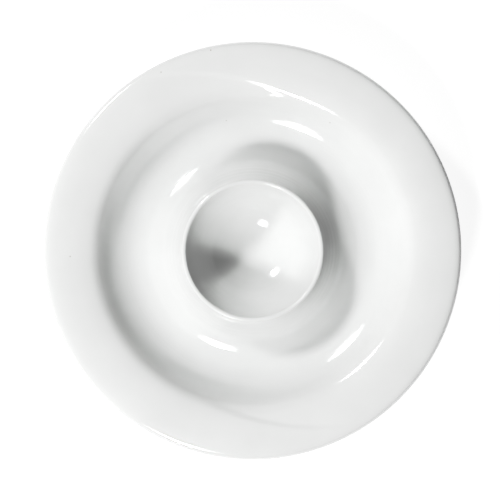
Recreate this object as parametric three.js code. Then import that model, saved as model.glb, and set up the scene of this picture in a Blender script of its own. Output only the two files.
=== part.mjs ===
// Porcelain egg cup standing in the well of its own round tray, in millimetres, +Z up.
// The origin is the centre of the foot ring's resting plane.
// Three clay parts make it: the cup, the tray round it, and the foot ring under the tray.
import * as THREE from 'three';

const MATERIAL_GAP = 0.3;
const WALL = 4.0;

// Egg cup: a spherical seat for the egg, a rolled lip, and a wall that flares down to the tray.
const SEAT_RADIUS = 22.4;
const SEAT_FLOOR_Z = 6.2;
const SEAT_EDGE_TILT = 72.4;
const LIP_ROLL = 0.85;
const LIP_WALL_TILT = 72;
const SEAT_UNDER_TILT = 42;

// Groove round the underside of the seat, up inside the cup's wall.
const GROOVE_TOP = { r: 22.4, z: 14.6, tilt: 180 };
const GROOVE_OUTER = { r: 24.6, z: 13.4, tilt: 118 };

// Tray: where the cup's wall lands, the level ring of the well, the well's wall and the crowned rim.
const TRAY_RADIUS = 67.5;
const EDGE_Z = 17.2;
const CUP_WALL_FOOT = { r: 27.5, z: 14.95, tilt: -53 };
const CUP_FOOT = { r: 29.1, z: 13.2, tilt: -41 };
const WELL_FILLET_TOP = { r: 31.1, z: 11.85, tilt: -28.5 };
const WELL_FILLET = { r: 33.6, z: 10.72, tilt: -20.5 };
const WELL_FLOOR = { r: 37.2, z: 10.2, tilt: 0 };
const WELL_WALL_FOOT = { r: 41.1, z: 10.9, tilt: 21 };
const WELL_WALL_LOW = { r: 43.2, z: 11.85, tilt: 27.5 };
const WELL_WALL_MIDDLE = { r: 45.3, z: 13.15, tilt: 37 };
const WELL_WALL_STEEPEST = { r: 48.3, z: 15.95, tilt: 45.5 };
const WELL_EDGE = { r: 50.3, z: 17.75, tilt: 35 };
const RIM_START = { r: 52.8, z: 18.95, tilt: 14.5 };
const RIM_CREST = { r: 59.2, z: 19.65, tilt: 0 };
const RIM_FALL = { r: 64.7, z: 19.25, tilt: -9.5 };
const RIM_TURN = { r: 66.3, z: 18.82, tilt: -22 };
const RIM_UNDER = { r: 65.9, z: 15.7, tilt: 180 };
const FOOT_SEAT_INNER_R = 31.0;
const FOOT_SEAT_RISE = 145;

// Swirl: two banks start at the well's edge, half a turn apart, and spiral out to the tray's edge,
// growing narrower as they go. The second arm is pressed shallower than the first.
const ARM_DEPTHS = [0.55, 0.45];
const BANK_START_WIDTH = 4.2;
const BANK_END_WIDTH = 1.8;
const BANK_NARROWS_FROM = 5;
const BANK_NARROWS_TO = 45;
const SWIRL_START = 55;
const SWIRL_SWEEP = 70;
const SWIRL_RISE = 12;
const SWIRL_FULL = 34;
const SWIRL_FALL = 30;
const SWIRL_END = 105;
const SWIRL_START_R = 50.0;
const SWIRL_WALL_FOOT_R = 48.0;
const SWIRL_WALL_TOP_R = 52.0;

// Foot ring: a tapered ring with a bare level land.
const FOOT_TOP_INNER_R = 31.4;
const FOOT_TOP_OUTER_R = 35.4;
const FOOT_LAND_INNER_R = 32.3;
const FOOT_LAND_OUTER_R = 34.3;
const FOOT_ROUND = 0.5;
const FOOT_ROUND_Z = 0.7;
const FOOT_SIDE_TILT = 100;

const CURVE_STEPS = 3;
const SEAT_STEPS = 8;
const LIP_STEPS = 3;
const CUP_SEGMENTS = 48;
const TRAY_SEGMENTS = 72;
const FOOT_SEGMENTS = 48;

const radians = THREE.MathUtils.degToRad;

const glazedPorcelain = () => new THREE.MeshStandardMaterial({
  color: 0xf4f4f2,
  roughness: 0.08,
  metalness: 0,
});

const biscuitPorcelain = () => new THREE.MeshStandardMaterial({
  color: 0xe6e2da,
  roughness: 0.75,
  metalness: 0,
});

// A point of the outer skin moved down through the wall, heading back the other way.
function underside(station) {
  const tilt = radians(station.tilt);
  return {
    r: station.r + Math.sin(tilt) * WALL,
    z: station.z - Math.cos(tilt) * WALL,
    tilt: station.tilt + 180,
  };
}

// Joins two stations by a curve that leaves and arrives at their tilts, close to a round arc.
function bend(from, to) {
  const chord = Math.hypot(to.r - from.r, to.z - from.z);
  const turn = Math.abs(((to.tilt - from.tilt + 540) % 360) - 180);
  const reach = chord / (3 * Math.cos(radians(turn) / 4) ** 2);
  const leave = radians(from.tilt);
  const arrive = radians(to.tilt);
  const curve = new THREE.CubicBezierCurve(
    new THREE.Vector2(from.r, from.z),
    new THREE.Vector2(from.r + Math.cos(leave) * reach, from.z + Math.sin(leave) * reach),
    new THREE.Vector2(to.r - Math.cos(arrive) * reach, to.z - Math.sin(arrive) * reach),
    new THREE.Vector2(to.r, to.z),
  );
  return curve.getPoints(CURVE_STEPS);
}

function bends(stations) {
  return stations.slice(1).flatMap((station, index) => bend(stations[index], station));
}

function arc(centreR, centreZ, radius, fromDegrees, toDegrees, steps) {
  const clockwise = toDegrees < fromDegrees;
  const curve = new THREE.EllipseCurve(
    centreR, centreZ, radius, radius, radians(fromDegrees), radians(toDegrees), clockwise,
  );
  return curve.getPoints(steps);
}

// Drops points that repeat the one before, so no face of the turned body is empty.
function withoutRepeats(points) {
  return points.filter((point, index) => index === 0 || point.distanceTo(points[index - 1]) > 1e-6);
}

function turned(outline, segments) {
  const geometry = new THREE.LatheGeometry(withoutRepeats(outline), segments);
  geometry.rotateX(Math.PI / 2);
  return geometry;
}

const smooth = (value) => THREE.MathUtils.smoothstep(value, 0, 1);

// How far the clay is pressed down at a place on the tray: deep just inside a bank, none outside
// it, fading to nothing at the tray's edge, down the well's wall and after the bank has run out.
function swirlDepth(r, degrees) {
  const turned = THREE.MathUtils.euclideanModulo(degrees - SWIRL_START, 360);
  const arm = turned < 180 ? 0 : 1;
  const turn = turned - arm * 180;
  const rimWidth = TRAY_RADIUS - SWIRL_START_R;
  const bankR = SWIRL_START_R + rimWidth * (turn / SWIRL_SWEEP) ** 2;
  const narrowed = (turn - BANK_NARROWS_FROM) / (BANK_NARROWS_TO - BANK_NARROWS_FROM);
  const bankWidth = THREE.MathUtils.lerp(
    BANK_START_WIDTH, BANK_END_WIDTH, THREE.MathUtils.clamp(narrowed, 0, 1),
  );
  const insideBank = smooth((bankR - r) / bankWidth + 0.5);
  const risen = smooth((turn - SWIRL_RISE) / (SWIRL_FULL - SWIRL_RISE));
  const fallen = smooth((turn - SWIRL_FALL) / (SWIRL_END - SWIRL_FALL));
  const acrossRim = 1 - THREE.MathUtils.clamp((r - SWIRL_START_R) / rimWidth, 0, 1) ** 4;
  const upWellWall = smooth((r - SWIRL_WALL_FOOT_R) / (SWIRL_WALL_TOP_R - SWIRL_WALL_FOOT_R));
  return ARM_DEPTHS[arm] * insideBank * risen * (1 - fallen) * acrossRim * upWellWall;
}

function pressSwirl(geometry) {
  const position = geometry.getAttribute('position');
  for (let index = 0; index < position.count; index += 1) {
    const x = position.getX(index);
    const y = position.getY(index);
    const degrees = THREE.MathUtils.radToDeg(Math.atan2(y, x));
    position.setZ(index, position.getZ(index) - swirlDepth(Math.hypot(x, y), degrees));
  }
  geometry.computeVertexNormals();
}

function named(name, geometry, material) {
  const mesh = new THREE.Mesh(geometry, material);
  mesh.name = name;
  return mesh;
}

function eggCup() {
  const seatCentreZ = SEAT_FLOOR_Z + SEAT_RADIUS;
  const edgeTilt = radians(SEAT_EDGE_TILT);
  const lipR = (SEAT_RADIUS + LIP_ROLL) * Math.sin(edgeTilt);
  const lipZ = seatCentreZ - (SEAT_RADIUS + LIP_ROLL) * Math.cos(edgeTilt);
  const wallTop = {
    r: lipR + LIP_ROLL * Math.sin(radians(LIP_WALL_TILT)),
    z: lipZ + LIP_ROLL * Math.cos(radians(LIP_WALL_TILT)),
    tilt: -LIP_WALL_TILT,
  };
  const seatUnder = {
    r: (SEAT_RADIUS + WALL) * Math.sin(radians(SEAT_UNDER_TILT)),
    z: seatCentreZ - (SEAT_RADIUS + WALL) * Math.cos(radians(SEAT_UNDER_TILT)),
    tilt: SEAT_UNDER_TILT + 180,
  };
  const outline = [
    ...arc(0, seatCentreZ, SEAT_RADIUS, -90, SEAT_EDGE_TILT - 90, SEAT_STEPS),
    ...arc(lipR, lipZ, LIP_ROLL, 90 + SEAT_EDGE_TILT, 90, LIP_STEPS),
    ...arc(lipR, lipZ, LIP_ROLL, 90, 90 - LIP_WALL_TILT, LIP_STEPS),
    ...bends([wallTop, CUP_WALL_FOOT, CUP_FOOT]),
    ...bends([underside(CUP_FOOT), GROOVE_OUTER, GROOVE_TOP, seatUnder]),
    ...arc(0, seatCentreZ, SEAT_RADIUS + WALL, SEAT_UNDER_TILT - 90, -90, SEAT_STEPS),
  ];
  return named('egg_cup', turned(outline.reverse(), CUP_SEGMENTS), glazedPorcelain());
}

function trayBody() {
  const start = {
    r: CUP_FOOT.r + MATERIAL_GAP * Math.cos(radians(CUP_FOOT.tilt)),
    z: CUP_FOOT.z + MATERIAL_GAP * Math.sin(radians(CUP_FOOT.tilt)),
    tilt: CUP_FOOT.tilt,
  };
  const top = [
    start, WELL_FILLET_TOP, WELL_FILLET, WELL_FLOOR, WELL_WALL_FOOT, WELL_WALL_LOW, WELL_WALL_MIDDLE,
    WELL_WALL_STEEPEST, WELL_EDGE, RIM_START, RIM_CREST, RIM_FALL, RIM_TURN,
    { r: TRAY_RADIUS, z: EDGE_Z, tilt: -90 },
  ];
  const under = [
    WELL_FLOOR, WELL_WALL_FOOT, WELL_WALL_LOW, WELL_WALL_MIDDLE, WELL_WALL_STEEPEST, WELL_EDGE,
    RIM_START, RIM_CREST,
  ].map((station) => underside(station)).reverse();
  const footSeatInner = { r: FOOT_SEAT_INNER_R, z: WELL_FLOOR.z - WALL, tilt: 180 };
  const outline = [
    ...bends([...top, RIM_UNDER, ...under, footSeatInner]),
    ...bends([{ ...footSeatInner, tilt: FOOT_SEAT_RISE }, underside(start)]),
    new THREE.Vector2(start.r, start.z),
  ];
  const geometry = turned(outline.reverse(), TRAY_SEGMENTS);
  pressSwirl(geometry);
  return named('tray', geometry, glazedPorcelain());
}

function footRing() {
  const top = WELL_FLOOR.z - WALL - MATERIAL_GAP;
  const outline = [
    new THREE.Vector2(FOOT_TOP_INNER_R, top),
    new THREE.Vector2(FOOT_TOP_OUTER_R, top),
    ...bend(
      { r: FOOT_LAND_OUTER_R + FOOT_ROUND, z: FOOT_ROUND_Z, tilt: -FOOT_SIDE_TILT },
      { r: FOOT_LAND_OUTER_R, z: 0, tilt: 180 },
    ),
    ...bend(
      { r: FOOT_LAND_INNER_R, z: 0, tilt: 180 },
      { r: FOOT_LAND_INNER_R - FOOT_ROUND, z: FOOT_ROUND_Z, tilt: FOOT_SIDE_TILT },
    ),
    new THREE.Vector2(FOOT_TOP_INNER_R, top),
  ];
  return named('foot_ring', turned(outline.reverse(), FOOT_SEGMENTS), biscuitPorcelain());
}

const eggHolderTray = new THREE.Group();
eggHolderTray.add(eggCup());
eggHolderTray.add(trayBody());
eggHolderTray.add(footRing());

export default eggHolderTray;
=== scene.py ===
"""White porcelain egg cup standing in the well of its own round tray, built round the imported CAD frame."""

import math

import bpy
import numpy as np
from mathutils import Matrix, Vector


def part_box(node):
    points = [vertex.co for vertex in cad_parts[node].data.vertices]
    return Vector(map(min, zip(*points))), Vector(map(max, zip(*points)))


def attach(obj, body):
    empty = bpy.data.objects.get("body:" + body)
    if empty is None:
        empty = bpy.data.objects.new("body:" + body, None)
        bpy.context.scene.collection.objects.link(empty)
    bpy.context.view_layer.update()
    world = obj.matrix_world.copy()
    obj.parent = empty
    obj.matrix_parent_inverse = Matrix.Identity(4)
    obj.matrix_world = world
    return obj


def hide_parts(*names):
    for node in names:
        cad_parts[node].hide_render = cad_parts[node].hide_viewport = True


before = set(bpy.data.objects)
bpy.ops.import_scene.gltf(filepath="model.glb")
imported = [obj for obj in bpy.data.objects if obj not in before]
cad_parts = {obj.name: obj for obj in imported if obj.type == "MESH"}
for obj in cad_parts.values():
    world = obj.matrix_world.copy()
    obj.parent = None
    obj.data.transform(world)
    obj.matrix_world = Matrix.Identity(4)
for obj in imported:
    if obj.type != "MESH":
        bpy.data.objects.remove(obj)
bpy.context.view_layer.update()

MM = 0.001

# Points of an outline this close together, in millimetres, are one point.
SAME_POINT = 1e-5

# Sizes taken from the frame, in millimetres.
TRAY_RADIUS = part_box("tray")[1].x / MM
LIP_TOP_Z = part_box("egg_cup")[1].z / MM
FOOT_TOP_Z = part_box("foot_ring")[1].z / MM
FOOT_TOP_OUTER_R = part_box("foot_ring")[1].x / MM

# Thickness of the clay all over, in millimetres.
WALL = 4.0

# Egg cup, in millimetres and degrees: a spherical seat, a rolled lip and a wall that flares to the tray.
SEAT_RADIUS = 22.4
SEAT_EDGE_TILT = 72.4
LIP_ROLL = 0.85
LIP_WALL_TILT = 72.0
SEAT_UNDER_TILT = 42.0
GROOVE_TOP = (22.4, 14.6, 180.0)
GROOVE_OUTER = (24.6, 13.4, 118.0)

# Stations of the cup's wall and the tray: radius, height, and the tilt of the skin going outwards.
CUP_WALL_FOOT = (27.5, 14.95, -53.0)
CUP_FOOT = (29.1, 13.2, -41.0)
WELL_FILLET_TOP = (31.1, 11.85, -28.5)
WELL_FILLET = (33.6, 10.72, -20.5)
WELL_FLOOR = (37.2, 10.2, 0.0)
WELL_WALL_FOOT = (41.1, 10.9, 21.0)
WELL_WALL_LOW = (43.2, 11.85, 27.5)
WELL_WALL_MIDDLE = (45.3, 13.15, 37.0)
WELL_WALL_STEEPEST = (48.3, 15.95, 45.5)
WELL_EDGE = (50.3, 17.75, 35.0)
RIM_START = (52.8, 18.95, 14.5)
RIM_CREST = (59.2, 19.65, 0.0)
RIM_FALL = (64.7, 19.25, -9.5)
RIM_TURN = (66.3, 18.82, -22.0)
TRAY_EDGE = (TRAY_RADIUS, 17.2, -90.0)
RIM_UNDER = (65.9, 15.7, 180.0)

# Swirl pressed into the rim: two banks that spiral out from the well's edge to the tray's edge. Depths,
# widths and radii are in millimetres. The first bank starts at azimuth SWIRL_START, and the other angles
# are degrees of turn since a bank's start.
ARM_DEPTHS = (0.55, 0.45)
SWIRL_START = 55.0
SWIRL_SWEEP = 70.0
SWIRL_RISE = 12.0
SWIRL_FULL = 34.0
SWIRL_FALL = 30.0
SWIRL_END = 105.0
BANK_WIDTHS = (4.2, 1.8)
BANK_NARROWING = (5.0, 45.0)
SWIRL_START_R = 50.0
SWIRL_WALL_FOOT_R = 48.0
SWIRL_WALL_TOP_R = 52.0

# Foot ring, in millimetres and degrees: tapered, glazed down its sides, with a bare land ground level.
FOOT_TOP_INNER_R = 31.4
FOOT_LAND_INNER_R = 32.3
FOOT_LAND_OUTER_R = 34.3
FOOT_ROUND = 0.5
FOOT_ROUND_Z = 0.7
FOOT_SIDE_TILT = 100.0
FOOT_SEAT_INNER_R = 31.0
FOOT_SEAT_RISE = 145.0

# Faint rings left by the tool that turned the clay: pitch and height in millimetres.
WALL_RINGS = (1.75, 0.02)
SEAT_RINGS = (2.6, 0.008)
FILLET_RINGS = (0.9, 0.003)
WELL_RINGS = (1.1, 0.003)

# Patterns in the glaze and the bare clay: how far apart their marks lie and how high they stand, in
# millimetres. A speck is solid out to its first radius and gone at its second. The land's real grain is
# about 0.05 mm; it is drawn at 0.2 mm, as a finer one doesn't show.
CLOUD_SIZE = 14.3
SMEAR_SIZE = 22.2
WAVE_SIZE = 6.25
WAVE_HEIGHT = 0.014
PEEL_SIZE = 0.91
PEEL_HEIGHT = 0.0008
SPECK_SPACING = 11.1
SPECK_RADII = (0.155, 0.333)
GRAIN_SIZE = 0.2
GRAIN_HEIGHT = 0.03

# Looks of the glaze and the bare clay, with colours in sRGB. A pair is the darker and the lighter patch,
# the thin and the deep glaze, or the smoother and the duller gloss. A span holds the pattern's values
# between which the look runs from the pair's first to its second.
BODY_COLOURS = ("#D8D8D7", "#DDDDDC")
POOL_COLOURS = ("#F8F9F9", "#EFF1F1")
POOL_SPAN = (0.4, 1.0)
SPECK_COLOUR = "#7D756B"
SPECK_STRENGTH = 0.6
GLAZE_ROUGHNESS = (0.045, 0.08)
GLAZE_IOR = 1.52
GLAZE_NOISE_SPAN = (0.3, 0.7)
BISCUIT_COLOURS = ("#CFCAC0", "#E2DED6")
BISCUIT_ROUGHNESS = 0.8
BISCUIT_IOR = 1.5
GRAIN_NOISE_SPAN = (0.35, 0.65)

# Spacing of points along an outline, in millimetres, and how many of them stand round a turn.
PROFILE_STEP = 0.25
RING_STEP = 0.15
FINE_STEP = 0.1
HIDDEN_STEP = 0.5
CUP_TURNS = 256
TRAY_TURNS = 270

# A corner that turns further than this many degrees stays crisp and gathers no glaze.
SHARP_ANGLE = 50.0

# Glaze in hollows: how far to each side an outline's bend is taken, in millimetres, and what it weighs.
POOL_REACH = 1.5
POOL_GAIN = 1.6


# ---------------------------------------------------------------- outlines (radius, height) in mm

def underside(station):
    """The station moved down through the wall along its normal, heading back the other way."""
    r, z, tilt = station
    angle = math.radians(tilt)
    return r + math.sin(angle) * WALL, z - math.cos(angle) * WALL, tilt + 180.0


def bend(start, end, step=PROFILE_STEP):
    """Cubic Bezier that leaves one station at its tilt and arrives at the next at its tilt.
    Its handles are chord / (3 cos(turn / 4) squared) long, which makes a round arc where one fits."""
    chord = math.hypot(end[0] - start[0], end[1] - start[1])
    turn = math.radians(abs((end[2] - start[2] + 540.0) % 360.0 - 180.0))
    reach = chord / (3.0 * math.cos(turn / 4.0) ** 2)
    leave, arrive = math.radians(start[2]), math.radians(end[2])
    p0 = np.array(start[:2])
    p3 = np.array(end[:2])
    p1 = p0 + reach * np.array([math.cos(leave), math.sin(leave)])
    p2 = p3 - reach * np.array([math.cos(arrive), math.sin(arrive)])
    t = np.linspace(0.0, 1.0, max(3, math.ceil(chord / step)) + 1)[:, None]
    return (1 - t) ** 3 * p0 + 3 * (1 - t) ** 2 * t * p1 + 3 * (1 - t) * t ** 2 * p2 + t ** 3 * p3


def bends(stations, step=PROFILE_STEP):
    """Cubic Beziers from each station to the next."""
    return np.concatenate([bend(a, b, step) for a, b in zip(stations, stations[1:])])


def arc(centre_r, centre_z, radius, start, end, step=PROFILE_STEP):
    """Circle arc from one angle to the other, in degrees from the outward direction."""
    length = radius * abs(math.radians(end - start))
    angle = np.radians(np.linspace(start, end, max(4, math.ceil(length / step)) + 1))
    return np.column_stack([centre_r + radius * np.cos(angle), centre_z + radius * np.sin(angle)])


def without_repeats(outline):
    """The outline without the points that lie on the one before."""
    gap = np.hypot(*np.diff(outline, axis=0).T)
    return outline[np.concatenate([[True], gap > SAME_POINT])]


def seat_centre_z():
    """Height of the seat's centre, worked back from the top of the lip's roll."""
    return LIP_TOP_Z - LIP_ROLL + (SEAT_RADIUS + LIP_ROLL) * math.cos(math.radians(SEAT_EDGE_TILT))


def with_turning_rings(skin, pitch, height):
    """Moves the skin's points along their normals by a cosine of the length along it,
    faded out at both ends by a squared sine."""
    skin = without_repeats(skin)
    along = np.concatenate([[0.0], np.cumsum(np.hypot(*np.diff(skin, axis=0).T))])
    ahead = np.gradient(skin, along, axis=0)
    normal = np.column_stack([-ahead[:, 1], ahead[:, 0]])
    fade = np.sin(np.pi * along / along[-1]) ** 2
    ripple = height * np.cos(2 * np.pi * along / pitch) * fade
    return skin + normal * ripple[:, None]


def cup_outline():
    """Round the cup's clay from the axis back to the axis: a circle arc up the seat, a small arc over the
    lip, cubic bends down the wall, bends up through the groove below, and an arc under the seat."""
    centre = seat_centre_z()
    edge = math.radians(SEAT_EDGE_TILT)
    lip_r = (SEAT_RADIUS + LIP_ROLL) * math.sin(edge)
    lip_z = centre - (SEAT_RADIUS + LIP_ROLL) * math.cos(edge)
    tilt = math.radians(LIP_WALL_TILT)
    wall_top = (lip_r + LIP_ROLL * math.sin(tilt), lip_z + LIP_ROLL * math.cos(tilt), -LIP_WALL_TILT)
    under = math.radians(SEAT_UNDER_TILT)
    seat_under = (
        (SEAT_RADIUS + WALL) * math.sin(under),
        centre - (SEAT_RADIUS + WALL) * math.cos(under),
        SEAT_UNDER_TILT + 180.0,
    )
    return without_repeats(np.concatenate([
        with_turning_rings(arc(0.0, centre, SEAT_RADIUS, -90.0, SEAT_EDGE_TILT - 90.0), *SEAT_RINGS),
        arc(lip_r, lip_z, LIP_ROLL, 90.0 + SEAT_EDGE_TILT, 90.0 - LIP_WALL_TILT, FINE_STEP),
        with_turning_rings(bends([wall_top, CUP_WALL_FOOT, CUP_FOOT], RING_STEP), *WALL_RINGS),
        bends([underside(CUP_FOOT), GROOVE_OUTER, GROOVE_TOP, seat_under]),
        arc(0.0, centre, SEAT_RADIUS + WALL, SEAT_UNDER_TILT - 90.0, -90.0, HIDDEN_STEP),
    ]))


def tray_outline():
    """Round the tray's clay: cubic bends out over the well, its wall, the rim and the edge, back in along
    the same stations moved through the wall, level over the foot ring, and up to the cup's foot."""
    fillet = [CUP_FOOT, WELL_FILLET_TOP, WELL_FILLET, WELL_FLOOR]
    well_wall = [WELL_FLOOR, WELL_WALL_FOOT, WELL_WALL_LOW, WELL_WALL_MIDDLE]
    rim = [WELL_WALL_MIDDLE, WELL_WALL_STEEPEST, WELL_EDGE, RIM_START, RIM_CREST]
    under = [underside(station) for station in reversed(well_wall[:-1] + rim)]
    seat_inner = (FOOT_SEAT_INNER_R, WELL_FLOOR[1] - WALL, 180.0)
    return without_repeats(np.concatenate([
        with_turning_rings(bends(fillet, RING_STEP), *FILLET_RINGS),
        with_turning_rings(bends(well_wall, RING_STEP), *WELL_RINGS),
        bends([*rim, RIM_FALL]),
        bends([RIM_FALL, RIM_TURN, TRAY_EDGE, RIM_UNDER], FINE_STEP),
        bends([RIM_UNDER, *under, seat_inner], HIDDEN_STEP),
        bend((*seat_inner[:2], FOOT_SEAT_RISE), underside(CUP_FOOT), HIDDEN_STEP),
    ]))


def foot_side_outline():
    """The ring's glazed part: straight sides that taper down to the land, closed above and below."""
    return np.array([
        [FOOT_TOP_INNER_R, FOOT_TOP_Z],
        [FOOT_TOP_OUTER_R, FOOT_TOP_Z],
        [FOOT_LAND_OUTER_R + FOOT_ROUND, FOOT_ROUND_Z],
        [FOOT_LAND_INNER_R - FOOT_ROUND, FOOT_ROUND_Z],
    ])


def foot_land_outline():
    """The ring's bare part: cubic bends round its two lower edges, with the level land between."""
    outer = bend(
        (FOOT_LAND_OUTER_R + FOOT_ROUND, FOOT_ROUND_Z, -FOOT_SIDE_TILT),
        (FOOT_LAND_OUTER_R, 0.0, 180.0), FINE_STEP,
    )
    inner = bend(
        (FOOT_LAND_INNER_R, 0.0, 180.0),
        (FOOT_LAND_INNER_R - FOOT_ROUND, FOOT_ROUND_Z, FOOT_SIDE_TILT), FINE_STEP,
    )
    return without_repeats(np.concatenate([outer, inner]))


# ---------------------------------------------------------------- turned pieces

def smooth(value):
    """3t^2 - 2t^3 on t clamped to 0..1."""
    t = np.clip(value, 0.0, 1.0)
    return t * t * (3.0 - 2.0 * t)


def swirl_depth(r, degrees):
    """How far the clay is pressed down. A bank's radius grows with the square of the turn since the
    well's edge, and the bank narrows as it goes. The press is full just inside the bank and none outside
    it. It grows over the bank's first stretch and fades over the rest, and it also fades at the tray's
    edge and down the well's wall. The second arm is shallower."""
    half_turns, turn = np.divmod((degrees - SWIRL_START) % 360.0, 180.0)
    depth = np.where(half_turns < 1.0, *ARM_DEPTHS)
    bank_width = np.interp(turn, BANK_NARROWING, BANK_WIDTHS)
    rim_width = TRAY_RADIUS - SWIRL_START_R
    bank_r = SWIRL_START_R + rim_width * (turn / SWIRL_SWEEP) ** 2
    inside_bank = smooth((bank_r - r) / bank_width + 0.5)
    risen = smooth((turn - SWIRL_RISE) / (SWIRL_FULL - SWIRL_RISE))
    fallen = smooth((turn - SWIRL_FALL) / (SWIRL_END - SWIRL_FALL))
    across_rim = 1.0 - np.clip((r - SWIRL_START_R) / rim_width, 0.0, 1.0) ** 4
    up_well_wall = smooth((r - SWIRL_WALL_FOOT_R) / (SWIRL_WALL_TOP_R - SWIRL_WALL_FOOT_R))
    return depth * inside_bank * risen * (1.0 - fallen) * across_rim * up_well_wall


def glaze_pool(outline, closed):
    """How thick the glaze lies along an outline, from 0 on its edges to 1 in its hollows: a half plus
    POOL_GAIN times the turn per millimetre, taken over POOL_REACH to each side. Corners don't count."""
    steps = np.roll(outline, -1, axis=0) - outline
    length = np.hypot(steps[:, 0], steps[:, 1])
    heading = np.arctan2(steps[:, 1], steps[:, 0])
    turn = (heading - np.roll(heading, 1) + np.pi) % (2 * np.pi) - np.pi
    turn[np.abs(turn) > math.radians(SHARP_ANGLE)] = 0.0
    along = np.cumsum(length) - length
    apart = np.abs(along[:, None] - along[None, :])
    if closed:
        apart = np.minimum(apart, length.sum() - apart)
    curving = np.where(apart < POOL_REACH, turn, 0.0).sum(axis=1) / (2 * POOL_REACH)
    return np.clip(0.5 + POOL_GAIN * curving, 0.0, 1.0)


def turned(name, outline, segments, swirled=False):
    """Surface of revolution on a grid of turn a and outline point: x = r cos a, y = r sin a, z = height
    less the swirl's depth there. The outline runs with the clay on its right, and it closes on itself or
    runs from axis to axis, where a fan of triangles closes each pole."""
    on_axis = outline[0, 0] < SAME_POINT
    pool = glaze_pool(outline, not on_axis)
    if on_axis:
        pole_pool = pool[[0, -1]]
        pool = pool[1:-1]
        poles = outline[[0, -1]]
        outline = outline[1:-1]
    angle = np.linspace(0.0, 2.0 * np.pi, segments, endpoint=False)
    r = outline[:, 0][None, :]
    x = r * np.cos(angle)[:, None]
    y = r * np.sin(angle)[:, None]
    z = np.broadcast_to(outline[:, 1][None, :], x.shape).copy()
    if swirled:
        z -= swirl_depth(np.broadcast_to(r, x.shape), np.degrees(angle)[:, None])
    points = np.stack([x, y, z], axis=-1).reshape(-1, 3)
    across = outline.shape[0]
    turns = np.arange(segments)[:, None] * across
    next_turns = np.roll(turns, -1, axis=0)
    here = np.arange(across if not on_axis else across - 1)[None, :]
    there = (here + 1) % across
    quads = np.stack([turns + there, next_turns + there, next_turns + here, turns + here], axis=-1)
    faces = quads.reshape(-1, 4).tolist()
    pool = np.tile(pool, segments)
    if on_axis:
        count = len(points)
        points = np.concatenate([points, [[0.0, 0.0, poles[0, 1]], [0.0, 0.0, poles[1, 1]]]])
        pool = np.concatenate([pool, pole_pool])
        ring, next_ring = turns[:, 0], next_turns[:, 0]
        last = across - 1
        faces += np.column_stack([np.full(segments, count), ring, next_ring]).tolist()
        faces += np.column_stack([np.full(segments, count + 1), next_ring + last, ring + last]).tolist()
    mesh = bpy.data.meshes.new(name)
    mesh.from_pydata((points * MM).tolist(), [], faces)
    mesh.attributes.new("glaze_pool", "FLOAT", "POINT").data.foreach_set("value", pool)
    mesh.shade_smooth()
    mesh.set_sharp_from_angle(angle=math.radians(SHARP_ANGLE))
    mesh.update()
    piece = bpy.data.objects.new(name, mesh)
    bpy.context.scene.collection.objects.link(piece)
    return piece


# ---------------------------------------------------------------- materials

def linear(hex_colour):
    """sRGB hex to linear RGBA."""
    channels = [int(hex_colour[i:i + 2], 16) / 255.0 for i in (1, 3, 5)]
    return [c / 12.92 if c <= 0.04045 else ((c + 0.055) / 1.055) ** 2.4 for c in channels] + [1.0]


def node(tree, kind, settings=None, links=None):
    """Adds a node, sets its inputs and properties by name, and links other nodes' outputs into it by
    the input's name or number."""
    made = tree.nodes.new(kind)
    for key, value in (settings or {}).items():
        if key in made.inputs:
            made.inputs[key].default_value = value
        else:
            setattr(made, key, value)
    for key, output in (links or {}).items():
        tree.links.new(output, made.inputs[key])
    return made


def repeats(size):
    """Texture scale that makes a pattern's marks this many millimetres across."""
    return 1.0 / (size * MM)


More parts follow.
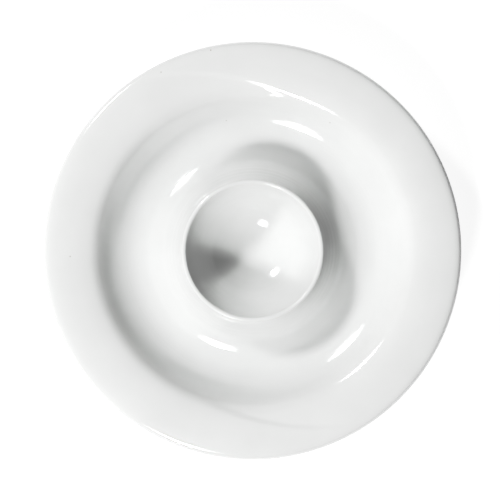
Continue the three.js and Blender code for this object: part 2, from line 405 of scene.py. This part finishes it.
def glazed_porcelain():
    """Hard-paste porcelain dipped in clear glaze and fired glossy: a bright neutral white body under a
    mirror-smooth coat. The eye gets sharp lamp reflections with slightly wavering edges, a faint grey
    depth where the glaze pools in hollows, and now and then a fired-in speck. The body's clouds, the
    smears in the gloss, the glaze's waves and its fine peel are each drawn at their real size."""
    material = bpy.data.materials.new("clear_glaze_on_white_porcelain")
    material.use_nodes = True
    tree = material.node_tree
    tree.nodes.clear()
    place = node(tree, "ShaderNodeTexCoord").outputs["Object"]

    cloud = node(tree, "ShaderNodeTexNoise", {"Scale": repeats(CLOUD_SIZE), "Detail": 3.0}, {"Vector": place})
    body = node(tree, "ShaderNodeValToRGB", links={"Fac": cloud.outputs["Fac"]})
    for stop, position, colour in zip(body.color_ramp.elements, GLAZE_NOISE_SPAN, BODY_COLOURS):
        stop.position = position
        stop.color = linear(colour)

    pool = node(tree, "ShaderNodeAttribute", {"attribute_name": "glaze_pool"})
    depth = node(tree, "ShaderNodeValToRGB", links={"Fac": pool.outputs["Fac"]})
    for stop, position, colour in zip(depth.color_ramp.elements, POOL_SPAN, POOL_COLOURS):
        stop.position = position
        stop.color = linear(colour)
    glazed = node(tree, "ShaderNodeVectorMath", {"operation": "MULTIPLY"},
                  {0: body.outputs["Color"], 1: depth.outputs["Color"]})

    cells = node(tree, "ShaderNodeTexVoronoi", {"Scale": repeats(SPECK_SPACING)}, {"Vector": place})
    core, rim = [radius / SPECK_SPACING for radius in SPECK_RADII]
    speck = node(tree, "ShaderNodeMapRange",
                 {"From Min": core, "From Max": rim, "To Min": SPECK_STRENGTH, "To Max": 0.0},
                 {"Value": cells.outputs["Distance"]})
    speckled = node(tree, "ShaderNodeMixRGB", {"Color2": linear(SPECK_COLOUR)},
                    {"Fac": speck.outputs["Result"], "Color1": glazed.outputs["Vector"]})

    smear = node(tree, "ShaderNodeTexNoise", {"Scale": repeats(SMEAR_SIZE), "Detail": 2.0}, {"Vector": place})
    gloss = node(tree, "ShaderNodeMapRange",
                 {"From Min": GLAZE_NOISE_SPAN[0], "From Max": GLAZE_NOISE_SPAN[1],
                  "To Min": GLAZE_ROUGHNESS[0], "To Max": GLAZE_ROUGHNESS[1]},
                 {"Value": smear.outputs["Fac"]})
    wave = node(tree, "ShaderNodeTexNoise", {"Scale": repeats(WAVE_SIZE), "Detail": 2.0}, {"Vector": place})
    peel = node(tree, "ShaderNodeTexNoise", {"Scale": repeats(PEEL_SIZE), "Detail": 1.0}, {"Vector": place})
    waves = node(tree, "ShaderNodeBump", {"Strength": 1.0, "Distance": WAVE_HEIGHT * MM},
                 {"Height": wave.outputs["Fac"]})
    skin = node(tree, "ShaderNodeBump", {"Strength": 1.0, "Distance": PEEL_HEIGHT * MM},
                {"Height": peel.outputs["Fac"], "Normal": waves.outputs["Normal"]})
    shader = node(tree, "ShaderNodeBsdfPrincipled", {"IOR": GLAZE_IOR},
                  {"Base Color": speckled.outputs["Color"], "Roughness": gloss.outputs["Result"],
                   "Normal": skin.outputs["Normal"]})
    node(tree, "ShaderNodeOutputMaterial", links={"Surface": shader.outputs["BSDF"]})
    return material


def ground_biscuit():
    """Bare porcelain where the glaze was wiped off and the ring ground flat: matt, a little warmer and
    darker than the glaze, with a fine sandy grain."""
    material = bpy.data.materials.new("bare_ground_porcelain")
    material.use_nodes = True
    tree = material.node_tree
    tree.nodes.clear()
    place = node(tree, "ShaderNodeTexCoord").outputs["Object"]
    grain = node(tree, "ShaderNodeTexNoise", {"Scale": repeats(GRAIN_SIZE), "Detail": 2.0}, {"Vector": place})
    body = node(tree, "ShaderNodeValToRGB", links={"Fac": grain.outputs["Fac"]})
    for stop, position, colour in zip(body.color_ramp.elements, GRAIN_NOISE_SPAN, BISCUIT_COLOURS):
        stop.position = position
        stop.color = linear(colour)
    sand = node(tree, "ShaderNodeBump", {"Strength": 1.0, "Distance": GRAIN_HEIGHT * MM},
                {"Height": grain.outputs["Fac"]})
    shader = node(tree, "ShaderNodeBsdfPrincipled", {"Roughness": BISCUIT_ROUGHNESS, "IOR": BISCUIT_IOR},
                  {"Base Color": body.outputs["Color"], "Normal": sand.outputs["Normal"]})
    node(tree, "ShaderNodeOutputMaterial", links={"Surface": shader.outputs["BSDF"]})
    return material


# ---------------------------------------------------------------- the object

glaze = glazed_porcelain()
biscuit = ground_biscuit()

cup = turned("glazed_egg_cup", cup_outline(), CUP_TURNS)
tray = turned("glazed_tray", tray_outline(), TRAY_TURNS, swirled=True)
foot = turned("glazed_foot_ring", foot_side_outline(), CUP_TURNS)
land = turned("bare_foot_land", foot_land_outline(), CUP_TURNS)

for piece, replaced, slot, material in (
    (cup, "egg_cup", "glazed_porcelain", glaze),
    (tray, "tray", "glazed_porcelain", glaze),
    (foot, "foot_ring", "glazed_porcelain", glaze),
    (land, "foot_ring", "bare_foot", biscuit),
):
    piece.data.materials.append(material)
    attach(piece, "root")
    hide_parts(replaced)


# ---------------------------------------------------------------- floor, lights and camera

# Lengths here are in metres.
FLOOR_SIZE = 6.0
FLOOR_COLOUR = "#808080"
FLOOR_ROUGHNESS = 0.9
FLOOR_GLOW = 1.06
SKY_STRENGTH = 0.02
WHITE = (1.0, 1.0, 1.0, 1.0)

# Two softboxes: azimuth and elevation in degrees, and brightness against the faces' own.
LAMPS = ((249.5, 41.5, 1.29), (135.0, 37.5, 1.08))
LAMP_DISTANCE = 2.5
LAMP_TARGET = (0.0, 0.0, 0.015)

# A softbox's glowing ovals: width and height in degrees as seen from the object, and radiance.
LAMP_FACES = ((17.8, 12.0, 8.0), (13.0, 9.0, 25.0), (8.0, 6.5, 150.0))
LAMP_FACE_GAP = 0.01

# Camera: height above the tray's edge, the width it takes in there, how wide its sensor is (this one in
# millimetres), and how far it stands off the axis.
CAMERA_HEIGHT = 0.9
VIEW_WIDTH = 0.16175
SENSOR_WIDTH = 36.0
CAMERA_OFFSET = (-0.0009, 0.0002)

# Tone curve: the brightness drawn as white, and points of value in, as a share of it, and value out.
FILM_WHITE = 1.25
FILM_CURVE = ((0.12, 0.15), (0.28, 0.29), (0.44, 0.53), (0.6, 0.715), (0.76, 0.83))


def plain_floor():
    """Level board whose own glow makes it white, so that the shadows on it stay faint."""
    mesh = bpy.data.meshes.new("floor")
    half = FLOOR_SIZE / 2
    corners = [(-half, -half, 0.0), (half, -half, 0.0), (half, half, 0.0), (-half, half, 0.0)]
    mesh.from_pydata(corners, [], [(0, 1, 2, 3)])
    floor = bpy.data.objects.new("floor", mesh)
    bpy.context.scene.collection.objects.link(floor)
    material = bpy.data.materials.new("backlit_opal_board")
    material.use_nodes = True
    shader = material.node_tree.nodes["Principled BSDF"]
    shader.inputs["Base Color"].default_value = linear(FLOOR_COLOUR)
    shader.inputs["Roughness"].default_value = FLOOR_ROUGHNESS
    shader.inputs["Emission Color"].default_value = WHITE
    shader.inputs["Emission Strength"].default_value = FLOOR_GLOW
    mesh.materials.append(material)


def lamp_face(name, azimuth, elevation, distance, wide, high, radiance):
    """Oval lamp that spans the given angles seen from the object, turned to face it."""
    lamp = bpy.data.lights.new(name, "AREA")
    lamp.shape = "ELLIPSE"
    lamp.size = 2 * distance * math.tan(math.radians(wide / 2))
    lamp.size_y = 2 * distance * math.tan(math.radians(high / 2))
    face_area = math.pi * lamp.size * lamp.size_y / 4
    lamp.energy = radiance * math.pi * face_area
    a, e = math.radians(azimuth), math.radians(elevation)
    place = distance * Vector((math.cos(a) * math.cos(e), math.sin(a) * math.cos(e), math.sin(e)))
    obj = bpy.data.objects.new(name, lamp)
    obj.location = place
    obj.rotation_euler = (Vector(LAMP_TARGET) - place).to_track_quat("-Z", "Y").to_euler()
    bpy.context.scene.collection.objects.link(obj)


def softbox(azimuth, elevation, share):
    """Ovals one in front of the other, each smaller and brighter, as the cloth of a softbox glows."""
    for step, (wide, high, radiance) in enumerate(LAMP_FACES):
        distance = LAMP_DISTANCE - LAMP_FACE_GAP * step
        lamp_face(f"softbox_{azimuth:.0f}_{step}", azimuth, elevation, distance, wide, high, share * radiance)


def soft_sky():
    """Dim even white all round, which only lifts the darkest shadows."""
    world = bpy.data.worlds.new("soft_sky")
    world.use_nodes = True
    background = world.node_tree.nodes["Background"]
    background.inputs["Color"].default_value = WHITE
    background.inputs["Strength"].default_value = SKY_STRENGTH
    bpy.context.scene.world = world


def overhead_camera():
    """Straight down on the cup, a hair off its axis, with the tray filling five sixths of the frame."""
    camera = bpy.data.cameras.new("camera")
    camera.sensor_width = SENSOR_WIDTH
    camera.lens = SENSOR_WIDTH * CAMERA_HEIGHT / VIEW_WIDTH
    obj = bpy.data.objects.new("camera", camera)
    obj.location = (*CAMERA_OFFSET, CAMERA_HEIGHT + TRAY_EDGE[1] * MM)
    bpy.context.scene.collection.objects.link(obj)
    bpy.context.scene.camera = obj


def film_tone():
    """Tone curve: shadows a little deeper, and whites that roll off before they clip."""
    view = bpy.context.scene.view_settings
    view.view_transform = "Standard"
    view.use_curve_mapping = True
    view.curve_mapping.white_level = (FILM_WHITE, FILM_WHITE, FILM_WHITE)
    for point in FILM_CURVE:
        view.curve_mapping.curves[3].points.new(*point)
    view.curve_mapping.update()


plain_floor()
for lamp in LAMPS:
    softbox(*lamp)
soft_sky()
overhead_camera()
film_tone()
